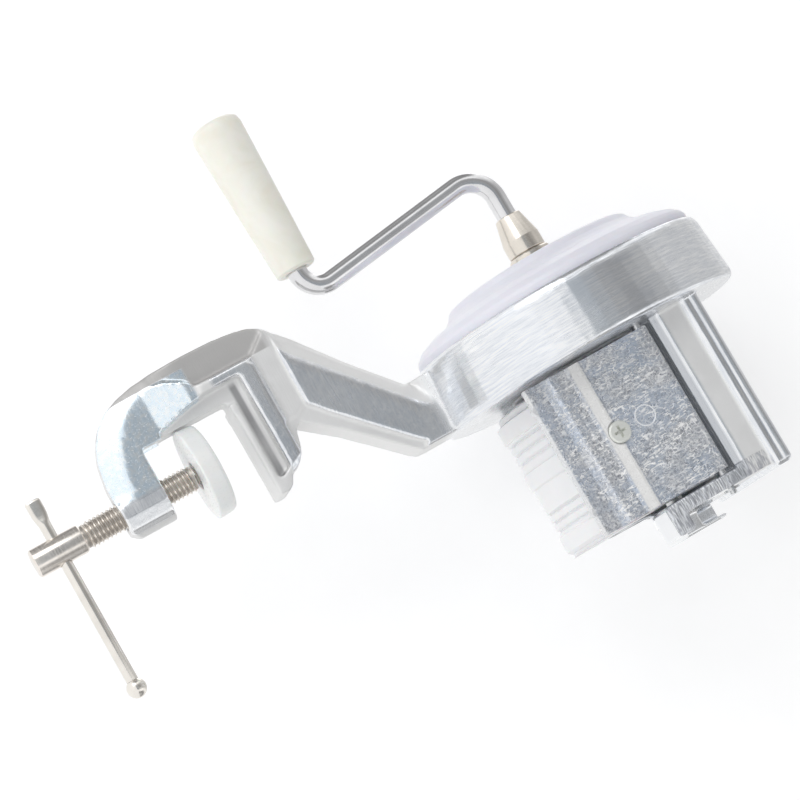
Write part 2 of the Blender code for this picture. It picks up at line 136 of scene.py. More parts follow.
class Nodes:
    """Short calls for a node tree whose patterns lie in one kind of texture coordinates."""

    def __init__(self, tree, coordinates):
        self.tree = tree
        self.place = self.node("ShaderNodeTexCoord").outputs[coordinates]

    def node(self, kind, **values):
        new = self.tree.nodes.new(kind)
        for key, value in values.items():
            setattr(new, key, value)
        return new

    def link(self, source, target):
        self.tree.links.new(source, target)

    def feed(self, *pairs):
        """Sets each input to its number or colour, or links it to its socket."""
        for target, value in pairs:
            if isinstance(value, bpy.types.NodeSocket):
                self.link(value, target)
            else:
                target.default_value = (*value, 1) if isinstance(value, tuple) else value

    def mapped(self, scale, rotation=(0, 0, 0)):
        new = self.node("ShaderNodeMapping")
        new.inputs["Scale"].default_value = scale
        new.inputs["Rotation"].default_value = rotation
        self.link(self.place, new.inputs["Vector"])
        return new.outputs["Vector"]

    def noise(self, scale, detail=4.0, vector=None, rough=0.55, distortion=0.0):
        new = self.node("ShaderNodeTexNoise")
        self.feed((new.inputs["Scale"], scale), (new.inputs["Detail"], detail),
                  (new.inputs["Roughness"], rough), (new.inputs["Distortion"], distortion),
                  (new.inputs["Vector"], vector or self.place))
        return new.outputs["Fac"]

    def math(self, operation, a, b=0.5):
        new = self.node("ShaderNodeMath", operation=operation)
        self.feed((new.inputs[0], a), (new.inputs[1], b))
        return new.outputs[0]

    def remap(self, value, low, high, to_low, to_high, curve="LINEAR"):
        new = self.node("ShaderNodeMapRange", interpolation_type=curve)
        self.feed((new.inputs["Value"], value), (new.inputs["From Min"], low), (new.inputs["From Max"], high),
                  (new.inputs["To Min"], to_low), (new.inputs["To Max"], to_high))
        return new.outputs["Result"]

    def step(self, value, edge):
        """Mask over a soft edge given as the values where it is 0 and 1."""
        return self.remap(value, *edge, 0.0, 1.0)

    def times(self, *factors):
        """Product of masks and numbers; of masks, where all of them are 1."""
        out = factors[0]
        for factor in factors[1:]:
            out = self.math("MULTIPLY", out, factor)
        return out

    def either(self, *masks):
        """Where any of the masks is 1."""
        out = masks[0]
        for mask in masks[1:]:
            out = self.math("MAXIMUM", out, mask)
        return out

    def without(self, mask):
        """Where the mask is 0."""
        return self.math("SUBTRACT", 1.0, mask)

    def mix(self, factor, a, b, how="MIX"):
        """Mix of two colours."""
        new = self.node("ShaderNodeMix", data_type="RGBA", blend_type=how)
        self.feed((new.inputs["Factor"], factor), (new.inputs[6], a), (new.inputs[7], b))
        return new.outputs[2]

    def blend(self, factor, a, b):
        """Mix of two numbers."""
        new = self.node("ShaderNodeMix", data_type="FLOAT")
        self.feed((new.inputs["Factor"], factor), (new.inputs[2], a), (new.inputs[3], b))
        return new.outputs[0]

    def length(self, a, b):
        """Length of the vector with two components."""
        return self.math("SQRT", self.math("ADD", self.times(a, a), self.times(b, b)))

    def xyz(self):
        """The three coordinates; for a piece in metres."""
        split = self.node("ShaderNodeSeparateXYZ")
        self.link(self.place, split.inputs[0])
        return split.outputs["X"], split.outputs["Y"], split.outputs["Z"]

    def ring_lines(self, along, center, fine, axis="Y"):
        """Coordinates that stretch a pattern around an axis parallel to Y or Z."""
        x, y, z = self.xyz()
        a, b, height = (x, self.math("SUBTRACT", z, center), y) if axis == "Y" else (
            x, self.math("SUBTRACT", y, center), z)
        radius = self.length(a, b)
        turn = self.math("ARCTAN2", a, b)
        join = self.node("ShaderNodeCombineXYZ")
        self.feed(*zip(join.inputs, (self.times(radius, fine), self.times(height, fine),
                                     self.times(turn, along))))
        return join.outputs[0]


class Shader(Nodes):
    """A Principled material with a name, the shader's own values and nodes in object coordinates."""

    def __init__(self, name, color, metallic, roughness, **sockets):
        self.mat = bpy.data.materials.new(name)
        self.mat.use_nodes = True
        super().__init__(self.mat.node_tree, "Object")
        self.out = self.tree.nodes["Principled BSDF"]
        inputs = self.out.inputs
        self.feed((inputs["Base Color"], color), (inputs["Metallic"], metallic),
                  (inputs["Roughness"], roughness))
        self.feed(*((inputs[key.replace("_", " ")], value) for key, value in sockets.items()))

    def bump(self, height, strength, distance=0.0002, after=None):
        new = self.node("ShaderNodeBump")
        self.feed((new.inputs["Strength"], strength), (new.inputs["Distance"], distance),
                  (new.inputs["Height"], height))
        if after is not None:
            self.link(after, new.inputs["Normal"])
        self.link(new.outputs["Normal"], self.out.inputs["Normal"])
        return new.outputs["Normal"]

    def set(self, socket, source):
        self.link(source, self.out.inputs[socket])


def casting_regions(s):
    """Masks of the casting's differently finished regions and of its strips of painted shade."""
    side_x, along, height = s.xyz()
    across = s.math("ABSOLUTE", side_x)
    body = s.step(height, BODY_EDGE)
    clamp = s.without(body)
    chamber = s.times(s.step(along, CHAMBER_EDGE), body)
    panel = s.times(chamber, s.step(height, PANEL_LOW), s.step(height, PANEL_HIGH))
    # ground faces of the clamp frame: arm and jaw ledge stand proud, the lower C is polished
    proud = s.times(s.step(across, ARM_FACE),
                    s.either(s.step(height, LEDGE_LOW),
                             s.times(s.step(along, BACK_OF_JAW), s.step(height, BACK_LOW))))
    belly = s.times(s.step(height, BELLY_TOP), s.step(along, BELLY_BACK),
                    s.either(s.step(across, BELLY_FACE),
                             s.times(s.step(height, FOOT_TOP), s.step(across, FOOT_FACE))))
    ground = s.times(clamp, s.either(proud, belly))
    ring = s.math("SUBTRACT", body, chamber)
    bearing = s.times(s.step(along, BEARING), s.step(height, BEARING_TOP), s.step(side_x, BEARING_FACE))
    return SimpleNamespace(
        body=body, chamber=chamber, ground=ground,
        brushed=s.either(ring, ground, s.math("SUBTRACT", chamber, panel)),
        # the bearing block is smooth and the lower C nearly so
        lined=s.without(s.either(s.times(belly, 0.85), bearing)),
        polished=s.times(clamp, belly, s.either(s.step(height, WEB_LOW), s.step(along, WEB_BACK))),
        # painted shade on the sunk spine
        shaded_spine=s.times(clamp, s.step(along, SPINE_FRONT), s.step(height, SPINE_TOP), s.without(ground)),
        # painted shade in the groove under the jaw ledge
        shaded_groove=s.times(clamp, s.step(height, GROOVE_LOW), s.step(height, GROOVE_HIGH),
                       s.step(across, GROOVE_FACE), s.step(along, GROOVE_BACK)),
        end_wall=s.times(s.step(along, END_WALL), s.step(side_x, END_WALL_FACE),
                         s.step(height, END_WALL_TOP)),
        boss=s.times(s.step(along, BOSS_BACK), s.step(along, BOSS_FRONT), s.step(height, BOSS_TOP), clamp),
        # painted shade on a dull strip between the panel and the lever, where the lever hides it
        shade=s.times(chamber, s.step(height, SHADE_LOW), s.step(height, SHADE_HIGH),
                      s.step(side_x, SHADE_FACE)))


def casting_material():
    """Aluminium casting: bright ground faces with brushed lines, satin as-cast skin everywhere else."""
    s = Shader("casting_polished", (0.88, 0.89, 0.90), 1.0, 0.2)
    part = casting_regions(s)

    wobble = s.noise(34.0, 3.0, rough=0.45)
    clouds = s.noise(26.0, 5.0, rough=0.6)
    mottle = s.noise(420.0, 4.0, rough=0.6)
    fine = s.noise(1400.0, 2.0)
    round_lines = s.noise(1.0, 3.0, s.ring_lines(7.0, AXIS_Z * MM, 1300.0))
    arm_lines = s.noise(1.0, 3.0, s.mapped((700, 110, 1300), (math.radians(16), 0, 0)))
    chamber_lines = s.noise(1.0, 3.0, s.mapped((1300, 60, 1300)))
    lines = s.blend(part.body, arm_lines, s.blend(part.chamber, round_lines, chamber_lines))
    # the end wall's cut edge was left with coarse slanted belt marks, the screw boss with short fine ones
    belt = s.noise(1.0, 2.0, s.mapped((100, 200, 1300), (math.radians(-10), 0, 0)), distortion=0.4)
    boss_lines = s.noise(1.0, 2.0, s.mapped((100, 120, 2600)))
    marks = s.either(s.times(part.end_wall, s.remap(belt, 0.42, 0.58, 0.0, 0.85)),
                     s.times(part.boss, s.remap(boss_lines, 0.40, 0.62, 0.0, 0.4)))
    # the lower C was polished over small pits that scatter light
    pits = s.times(part.polished, s.remap(s.noise(1100.0, 3.0, rough=0.7), 0.55, 0.64, 0.0, 0.4))

    bright = s.mix(s.remap(clouds, 0.35, 0.65, 0.0, 1.0), (0.84, 0.86, 0.89), (0.93, 0.935, 0.94))
    bright = s.mix(s.times(s.remap(lines, 0.36, 0.66, 0.0, 0.75), part.lined), bright, (0.66, 0.69, 0.74))
    satin = s.mix(s.remap(clouds, 0.35, 0.7, 0.0, 1.0), (0.78, 0.78, 0.775), (0.84, 0.84, 0.84))
    polish = s.mix(s.remap(mottle, 0.44, 0.62, 0.0, 1.0), (0.82, 0.92, 1.0), (0.93, 0.98, 1.0))
    tone = s.mix(part.polished, s.mix(part.brushed, satin, bright), polish)
    for amount, color in (
            (pits, (0.88, 0.95, 1.0)),
            (s.times(part.ground, s.remap(mottle, 0.52, 0.68, 0.0, 0.45)), (0.97, 0.975, 0.98)),
            # painted shade on the sunk spine
            (s.times(part.shaded_spine, 0.9), (0.47, 0.462, 0.455)),
            # painted shade in the groove under the jaw ledge
            (s.times(part.shaded_groove, s.remap(clouds, 0.3, 0.6, 0.35, 0.8)), (0.30, 0.30, 0.31)),
            (marks, (0.40, 0.41, 0.45)),
            # painted shade on the strip under the lever
            (s.times(part.shade, 0.8), (0.46, 0.48, 0.51))):
        tone = s.mix(amount, tone, color)
    s.set("Base Color", tone)

    metallic = s.blend(part.brushed, s.times(fine, 0.7), s.remap(fine, 0.0, 1.0, 0.96, 1.0))
    s.set("Metallic", s.math("SUBTRACT", metallic, pits))
    smooth = s.math("ADD", s.remap(lines, 0.3, 0.7, 0.13, 0.27), s.remap(clouds, 0.3, 0.7, -0.04, 0.07))
    skin = s.math("ADD", s.remap(lines, 0.3, 0.7, 0.38, 0.46), s.remap(clouds, 0.3, 0.7, -0.05, 0.07))
    s.set("Roughness", s.math("ADD", s.blend(part.brushed, skin, smooth),
                              s.times(s.either(part.end_wall, part.boss), 0.15)))
    first = s.bump(wobble, 0.5, 0.0012)
    second = s.bump(s.times(lines, part.lined), 0.5, 0.00014, first)
    third = s.bump(s.times(belt, part.end_wall), 0.9, 0.0010, second)
    s.bump(s.math("ADD", s.times(mottle, part.ground), s.times(fine, 0.2)), 0.25, 0.00016, third)
    return s.mat


def lathe_metal(name, color, roughness, center_z, metallic=1.0):
    """Plated or turned metal with faint lines round its axis, which is parallel to Y."""
    s = Shader(name, color, metallic, roughness)
    rings = s.noise(1.0, 2.0, s.ring_lines(LATHE_TURN, center_z, LATHE_LINES))
    clouds = s.noise(120.0, 4.0)
    darker = tuple(c * 0.86 for c in color)
    s.set("Base Color", s.mix(s.remap(clouds, 0.35, 0.7, 0.0, 0.7), color, darker))
    s.set("Roughness", s.remap(rings, 0.3, 0.7, roughness - 0.05, roughness + 0.08))
    s.bump(rings, 0.12, 0.0001)
    return s.mat


def screw_metal():
    """Plated screw whose thread roots hold dark grime."""
    s = Shader("nickel_screw", (0.78, 0.73, 0.66), 1.0, 0.2)
    x, y, z = s.xyz()
    on_thread = s.times(s.step(z, THREAD_HIGH_EDGE), s.step(z, THREAD_LOW_EDGE))
    root = s.times(s.step(s.length(x, y), THREAD_ROOT_EDGE), on_thread)
    rings = s.noise(1.0, 2.0, s.ring_lines(LATHE_TURN, 0.0, LATHE_LINES, "Z"))
    clouds = s.noise(160.0, 4.0)
    tone = s.mix(s.remap(clouds, 0.35, 0.7, 0.0, 0.8), (0.88, 0.835, 0.785), (0.72, 0.67, 0.61))
    s.set("Base Color", s.mix(root, tone, (0.40, 0.367, 0.330)))
    s.set("Roughness", s.math("ADD", s.remap(rings, 0.3, 0.7, 0.15, 0.28), s.times(root, 0.3)))
    s.bump(rings, 0.12, 0.0001)
    return s.mat


def scratches(s, scale, seed, width, keep, stretch=(1, 1, 1), turn=0.0):
    """Thin curved lines: level lines of a slow noise, kept only in patches."""
    place = s.mapped(tuple(scale * k for k in stretch), (math.radians(turn), 0, 0))
    moved = s.node("ShaderNodeVectorMath", operation="ADD")
    s.link(place, moved.inputs[0])
    moved.inputs[1].default_value = (seed, 0.37 * seed, 1.7 * seed)
    field = s.noise(1.0, 1.0, moved.outputs[0], 0.4, 0.6)
    saw = s.math("PINGPONG", s.times(field, 9.0), 0.5)
    line = s.remap(saw, 0.0, width, 1.0, 0.0)
    patch = s.step(s.noise(2.3, 2.0, moved.outputs[0]), (keep, keep + 0.06))
    return s.times(line, patch)


def diecast_material():
    """Unpolished die casting: hammered-looking skin, bright specks and many thin curved scratches."""
    s = Shader("diecast_raw", (0.80, 0.81, 0.83), 1.0, 0.42)
    mottle = s.noise(900.0, 4.0, rough=0.7)
    dents = s.noise(420.0, 3.0, rough=0.6, distortion=0.5)
    clouds = s.noise(60.0, 4.0, distortion=0.6)
    strokes = []
    for turn, stretch in ((14, (700, 950, 300)), (-38, (800, 880, 280))):
        streaks = s.noise(1.0, 2.0, s.mapped(stretch, (math.radians(turn), 0, 0)), 0.6, 1.1)
        strokes.append(s.step(streaks, (0.575, 0.605)))
    specks = s.times(s.either(*strokes), s.remap(s.noise(95.0, 3.0, rough=0.6), 0.36, 0.58, 0.35, 1.0))
    marks = s.either(*(scratches(s, *values) for values in (
        (90.0, 3.1, 0.050, 0.47, (1, 1, 1), 0), (60.0, 7.7, 0.030, 0.50, (1, 1.6, 0.7), 35),
        (75.0, 12.9, 0.036, 0.52, (1, 0.6, 1.5), -20), (150.0, 21.3, 0.060, 0.50, (1, 1, 1), 60))))
    # the round mark of an ejector pin beside the screw
    _, along, height = s.xyz()
    reach = s.length(s.math("SUBTRACT", along, MARK_Y), s.math("SUBTRACT", height, MARK_Z))
    off = s.math("ABSOLUTE", s.math("SUBTRACT", reach, MARK_R))
    ring = s.times(s.remap(off, 0.0, 0.0004, 1.0, 0.0), s.remap(clouds, 0.35, 0.5, 0.45, 1.0))
    wiped = s.either(s.times(s.step(height, WIPED_LOW), s.step(height, WIPED_HIGH)),
                     s.remap(height, *WIPED_END, 0.0, 0.7))
    bright = s.times(s.either(s.times(marks, 0.9), ring, specks), s.without(s.times(wiped, 0.85)))
    tone = s.mix(s.remap(mottle, 0.40, 0.60, 0.0, 1.0), (0.46, 0.48, 0.53), (0.84, 0.86, 0.89))
    tone = s.mix(s.remap(clouds, 0.42, 0.58, 0.0, 0.75), tone, (0.56, 0.63, 0.74))
    tone = s.mix(wiped, tone, (0.78, 0.778, 0.77))
    s.set("Base Color", s.mix(bright, tone, (1.0, 1.0, 1.0)))
    s.set("Metallic", s.math("SUBTRACT", 0.92, s.times(s.either(bright, wiped), 0.8)))
    s.set("Roughness", s.math("ADD", s.remap(dents, 0.38, 0.62, 0.22, 0.46), s.times(bright, 0.10)))
    first = s.bump(dents, 0.8, 0.0005)
    second = s.bump(mottle, 0.5, 0.0002, first)
    s.bump(bright, 0.8, 0.0002, second)
    return s.mat


def plastic(name, color, other, roughness, grain=900.0, strength=0.06, **sockets):
    """Moulded plastic: slow tone change, faint marbling and a fine skin."""
    s = Shader(name, color, 0.0, roughness, **sockets)
    marble = s.noise(42.0, 5.0, distortion=1.4)
    skin = s.noise(grain, 3.0)
    s.set("Base Color", s.mix(s.remap(marble, 0.38, 0.66, 0.0, 1.0), color, other))
    s.set("Roughness", s.remap(skin, 0.3, 0.7, roughness - 0.05, roughness + 0.07))
    s.bump(skin, strength, 0.00012)
    return s.mat


CAST = casting_material()
CHROME = lathe_metal("chrome_plate", (0.78, 0.78, 0.79), 0.12, GRIP_Z * MM)
NICKEL_Y = lathe_metal("nickel_turned", (0.80, 0.75, 0.68), 0.18, AXIS_Z * MM)
NICKEL_BAR = lathe_metal("nickel_bar", (0.88, 0.845, 0.79), 0.15, BAR_Z * MM)
NICKEL_Z = screw_metal()
ZINC = lathe_metal("zinc_screw", (0.84, 0.855, 0.81), 0.34, AXIS_Z * MM, metallic=0.45)
STEEL = lathe_metal("stainless_steel", (0.72, 0.73, 0.74), 0.24, AXIS_Z * MM)
DIECAST = diecast_material()
CAP = plastic("cap_plastic", (0.80, 0.80, 0.88), (0.83, 0.83, 0.90), 0.36, Subsurface_Weight=0.08,
              Subsurface_Scale=0.004)
IVORY = plastic("ivory_plastic", (0.93, 0.92, 0.85), (0.88, 0.865, 0.765), 0.38, Subsurface_Weight=0.15,
                Subsurface_Scale=0.006)
WHITE = plastic("white_plastic", (0.86, 0.865, 0.875), (0.83, 0.835, 0.85), 0.42, Subsurface_Weight=0.1,
                Subsurface_Scale=0.004)
PAD = plastic("pad_plastic", (0.88, 0.905, 0.90), (0.93, 0.94, 0.935), 0.3, Subsurface_Weight=0.15,
              Subsurface_Scale=0.005)


# ---------------------------------------------------------------- mesh tools


def add(name, verts, faces, mat, body, sharp=35.0, node=None):
    """Links a new piece; verts are Vectors or triples in mm."""
    mesh = bpy.data.meshes.new(name)
    mesh.from_pydata([tuple(c * MM for c in v) for v in verts], [], faces)
    tidy(mesh, sharp)
    return place(name, mesh, mat, body, node)


def tidy(mesh, sharp):
    """Merges doubled points, turns the faces outward and smooths all but the sharp edges."""
    bm = bmesh.new()
    bm.from_mesh(mesh)
    bmesh.ops.remove_doubles(bm, verts=bm.verts, dist=0.000004)
    bmesh.ops.recalc_face_normals(bm, faces=bm.faces)
    bm.to_mesh(mesh)
    bm.free()
    mesh.polygons.foreach_set("use_smooth", [True] * len(mesh.polygons))
    mesh.set_sharp_from_angle(angle=math.radians(sharp))


def place(name, mesh, mat, body, node=None):
    """Links a mesh as a piece that rides a body and takes the place of a CAD node."""
    obj = bpy.data.objects.new(name, mesh)
    bpy.context.scene.collection.objects.link(obj)
    mesh.materials.clear()
    mesh.materials.append(mat)
    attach(obj, body)
    if node:
        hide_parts(*([node] if isinstance(node, str) else node))
    return obj


def fillet(points, radius, count=4, closed=False):
    """Rounds the corners of a 2D outline; radius is one number or one per point."""
    n = len(points)
    out = []
    for i, p in enumerate(points):
        r = radius if isinstance(radius, (int, float)) else radius[i]
        if r <= 0 or (not closed and i in (0, n - 1)):
            out.append(p)
            continue
        here = Vector(p)
        to_last = Vector(points[i - 1]) - here
        to_next = Vector(points[(i + 1) % n]) - here
        angle = to_last.angle(to_next, math.pi)
        if angle > math.radians(176):
            out.append(p)
            continue
        cut = min(r / math.tan(angle / 2), 0.45 * to_last.length, 0.45 * to_next.length)
        a = here + to_last.normalized() * cut
        b = here + to_next.normalized() * cut
        for k in range(count + 1):
            t = k / count
            q = a * (1 - t) ** 2 + here * 2 * t * (1 - t) + b * t ** 2
            out.append((q.x, q.y))
    return out


def turned(name, profile, mat, body, node=None, axis="Y", at=(0, 0, 0), steps=96, round_mm=0.3, sharp=35.0):
    """Turned piece from a (radius, height) profile in mm, closed if it has a bore."""
    closed = profile[0][0] > 0 and profile[-1][0] > 0
    line = fillet(profile, round_mm, 3, closed)
    verts = []
    for k in range(steps):
        c, s = math.cos(2 * math.pi * k / steps), math.sin(2 * math.pi * k / steps)
        for r, h in line:
            spot = {"Y": (r * c, h, r * s), "Z": (r * c, r * s, h), "X": (h, r * c, r * s)}[axis]
            verts.append(Vector(spot) + Vector(at))
    n = len(line)
    faces = []
    for k in range(steps):
        for i in range(n if closed else n - 1):
            a, b = k * n + i, k * n + (i + 1) % n
            m = (k + 1) % steps * n
            faces.append((a, b, m + (i + 1) % n, m + i))
    return add(name, verts, faces, mat, body, sharp, node)


def swept(name, path, radius, mat, body, node=None, sides=40):
    """Round bar along a path in the YZ plane, with closed ends."""
    verts, faces = [], []
    for i, p in enumerate(path):
        along = (path[min(i + 1, len(path) - 1)] - path[max(i - 1, 0)]).normalized()
        up = along.cross(X_AXIS).normalized()
        for k in range(sides):
            t = 2 * math.pi * k / sides
            verts.append(p + X_AXIS * (radius * math.cos(t)) + up * (radius * math.sin(t)))
    for i in range(len(path) - 1):
        for k in range(sides):
            a, b = i * sides + k, i * sides + (k + 1) % sides
            faces.append((a, b, b + sides, a + sides))
    faces.append(tuple(range(sides)))
    faces.append(tuple(range(len(verts) - sides, len(verts))))
    return add(name, verts, faces, mat, body, 40.0, node)


def smooth_edges(obj, width_mm, segments=3, angle=40):
    """Rounds the edges sharper than an angle in degrees."""
    mod = obj.modifiers.new("Soft edges", "BEVEL")
    mod.width = width_mm * MM
    mod.segments = segments
    mod.limit_method = "ANGLE"
    mod.angle_limit = math.radians(angle)
    mod.harden_normals = True


def shape(name, outline, low, high, axis="X"):
    """Plain closed prism used to build or cut a piece, mm; not shown."""
    n = len(outline)
    if axis == "X":
        verts = [(x, a, b) for x in (low, high) for a, b in outline]
    else:
        verts = [(a, y, b) for y in (low, high) for a, b in outline]
    faces = [tuple(range(n)), tuple(range(n, 2 * n))]
    faces += [(i, (i + 1) % n, n + (i + 1) % n, n + i) for i in range(n)]
    mesh = bpy.data.meshes.new(name)
    mesh.from_pydata([tuple(c * MM for c in v) for v in verts], [], faces)
    tidy(mesh, 35)
    return mesh


def combine(mesh, other, how="DIFFERENCE"):
    """Exact Boolean of two meshes; returns the new mesh."""
    a = bpy.data.objects.new("work_a", mesh)
    b = bpy.data.objects.new("work_b", other)
    for o in (a, b):
        bpy.context.scene.collection.objects.link(o)
    mod = a.modifiers.new("Cut", "BOOLEAN")
    mod.operation = how
    mod.solver = "EXACT"
    mod.object = b
    bpy.context.view_layer.update()
    result = bpy.data.meshes.new_from_object(a.evaluated_get(bpy.context.evaluated_depsgraph_get()))
    for o in (a, b):
        bpy.data.objects.remove(o)
    return result


def remeshed(mesh, voxel_mm, smooth, keep):
    """Voxel remesh that melts a piece's parts together with soft cast fillets."""
    obj = bpy.data.objects.new("work", mesh)
    bpy.context.scene.collection.objects.link(obj)
    mod = obj.modifiers.new("Melt", "REMESH")
    mod.mode = "VOXEL"
    mod.voxel_size = voxel_mm * MM
    mod.adaptivity = 0.0
    soft = obj.modifiers.new("Soften", "SMOOTH")
    soft.factor = 0.5
    soft.iterations = smooth
    if keep < 1:
        thin = obj.modifiers.new("Thin", "DECIMATE")
        thin.ratio = keep
    bpy.context.view_layer.update()
    result = bpy.data.meshes.new_from_object(obj.evaluated_get(bpy.context.evaluated_depsgraph_get()))
    bpy.data.objects.remove(obj)
    result.polygons.foreach_set("use_smooth", [True] * len(result.polygons))
    return result


# ---------------------------------------------------------------- the casting

VOXEL = 0.75
FRAME_X, FRAME_TOP = 15, 86         # arm and lower C lie inside and under these
FLAT_X = 9.2                        # inside this a side shrinks, outside it moves inward whole
# the arm's front edge: a point on it in y and z, the direction into the face, and the rolled stretch
ARM_Y, ARM_Z = -38.0, 34.0
INTO_ARM = (0.658, -0.752)
ARM_LOW, ARM_HIGH = 29, 84
ROLL_WIDTH = 10
ROLL_DROP = 5.6
# the lower C's outer rim: an ellipse in y and z, and where rolling starts as a multiple of it
RIM_Y, RIM_Z = -6.0, -26.0
RIM_HALF_Y, RIM_HALF_Z = 35.0, 28.0
RIM_START = 1.06
RIM_TOP = -14
RIM_FRONT = -3.5
RIM_SLOPE = 0.40
RIM_R = 30
source = NODES["body_casting"].data.copy()


def rolled(mesh):
    """Rolls the arm's front edge and the lower C's outer rim away from their ground faces."""
    for v in mesh.vertices:
        x, y, z = (c / MM for c in v.co)
        if abs(x) > FRAME_X or z > FRAME_TOP:
            continue
        drop = 0.0
        inward = (y - ARM_Y) * INTO_ARM[0] + (z - ARM_Z) * INTO_ARM[1]
        if ARM_LOW < z and inward < ROLL_WIDTH:
            share = min(1.0, (z - ARM_LOW) / 5) * min(1.0, (ARM_HIGH - z) / 7)
            drop = ROLL_DROP * ((ROLL_WIDTH - max(inward, 0.0)) / ROLL_WIDTH) ** 1.7 * max(0.0, share)
        reach = math.hypot((y - RIM_Y) / RIM_HALF_Y, (z - RIM_Z) / RIM_HALF_Z)
        if z < RIM_TOP and reach > RIM_START:
            share = min(1.0, (RIM_TOP - z) / 12) * min(1.0, max(0.0, (RIM_FRONT - y) / 3))
            drop = RIM_SLOPE * (reach - RIM_START) * RIM_R * share
        keep = abs(x) * max(0.0, 1 - drop / FLAT_X) if abs(x) < FLAT_X else abs(x) - drop
        v.co.x = math.copysign(keep, x) * MM
    return mesh


casting = place("casting", rolled(remeshed(source, VOXEL, 5, 0.4)), CAST, "frame",
                "body_casting")

# ---------------------------------------------------------------- crank and cap

ROD_R = (side("crank_rod", 0, True) - side("crank_rod", 0, False)) / 2
ROD_END = side("crank_rod", 1, False)
ELBOW_Y = -61.3
WRIST_Y = -46.9


def bend_path(points, radii, count=14):
    """YZ polyline with arc corners, as Vectors in mm."""
    out = [Vector((0, *points[0]))]
    for i in range(1, len(points) - 1):
        here = Vector((0, *points[i]))
        into = (Vector((0, *points[i - 1])) - here).normalized()
        away = (Vector((0, *points[i + 1])) - here).normalized()
        half = into.angle(away) / 2
        radius = radii[i - 1]
        center = here + (into + away).normalized() * (radius / math.sin(half))
        a = here + into * (radius / math.tan(half)) - center
        b = here + away * (radius / math.tan(half)) - center
        sweep = a.angle(b)
        for k in range(count + 1):
            t = k / count
            out.append(center + (a * math.sin((1 - t) * sweep) + b * math.sin(t * sweep)) / math.sin(sweep))
    out.append(Vector((0, *points[-1])))
    return out


rod_path = bend_path([(-27.0, AXIS_Z), (ELBOW_Y, AXIS_Z), (WRIST_Y, GRIP_Z), (ROD_END, GRIP_Z)], (13.0, 10.0))
swept("rod", rod_path, ROD_R, CHROME, "crank", "crank_rod")

ferrule = turned("ferrule", [
    (4.3, -16.9), (8.7, -16.9), (9.1, -17.4), (9.1, -23.9), (6.3, -35.5), (5.9, -35.9), (5.06, -35.9),
    (5.06, -26.6), (4.3, -26.2)], NICKEL_Y, "crank", "crank_ferrule", at=CRANK_AXIS)
collar = turned("collar", [
    (4.3, -10.8), (9.5, -10.8), (10.1, -11.4), (10.1, -12.9), (9.8, -13.2), (9.8, -14.0), (10.1, -14.3),
    (10.1, -15.9), (9.5, -16.6), (4.3, -16.6)], NICKEL_Y, "crank", "hub_collar", at=CRANK_AXIS, round_mm=0.15)
cap = turned("cap", [
    (4.3, 35.7), (14.0, 35.7), (14.0, -8.0), (43.8, -8.0), (45.6, -4.2), (49.2, -2.0), (59.5, 0.4),
    (65.2, 2.6), (67.4, 6.0), (67.6, 14.0), (70.2, 14.0), (70.2, 4.6), (69.4, 2.9), (66.6, 0.4),
    (60.8, -1.9), (54.1, -3.2), (50.6, -5.0), (48.0, -7.0), (46.4, -9.4), (45.0, -10.3), (43.5, -10.5),
    (4.3, -10.5)], CAP, "crank", "drive_cap", at=CRANK_AXIS, steps=160, round_mm=1.2, sharp=50)
axle = turned("axle", [
    (0, 130.6), (2.6, 130.6), (3.2, 130.0), (3.2, 115.6), (4.0, 115.6), (4.0, -24.4), (3.4, -25.0),
    (0, -25.0)], STEEL, "crank", "drum_axle", at=CRANK_AXIS, steps=48)

grip = turned("handle", [
    (5.06, -124.2), (5.06, -60.6), (5.6, -59.8), (8.7, -59.7), (9.7, -60.6), (10.2, -74), (11.2, -100),
    (12.2, -128), (12.3, -132.6), (11.6, -135.6), (9.4, -137.2), (4.6, -137.7), (4.2, -137.5), (0, -137.5)],
    IVORY, "grip", "grip", at=(0, 0, GRIP_Z), steps=96, round_mm=0.6)

# ---------------------------------------------------------------- drum with grating holes

DRUM_R = side("drum_shell", 0, True)
DRUM_Y0 = side("drum_shell", 1, False)
DRUM_Y1 = side("drum_shell", 1, True)
HOLE_COLUMNS = 44
HOLE_ROWS = 14
HOLE_R = 1.35
TOOTH = 0.7
SHEET_THICK = 0.5
INSET = 0.45            # the sheet's outer face under the CAD drum's, room for the lips
PLAIN_RIM = 2.0


def drum_point(around, y, proud=0.0):
    """Point on the drum from the length round it and along it, mm."""
    t = around / DRUM_R
    r = DRUM_R - INSET + proud
    return Vector((r * math.cos(t), y, AXIS_Z + r * math.sin(t)))


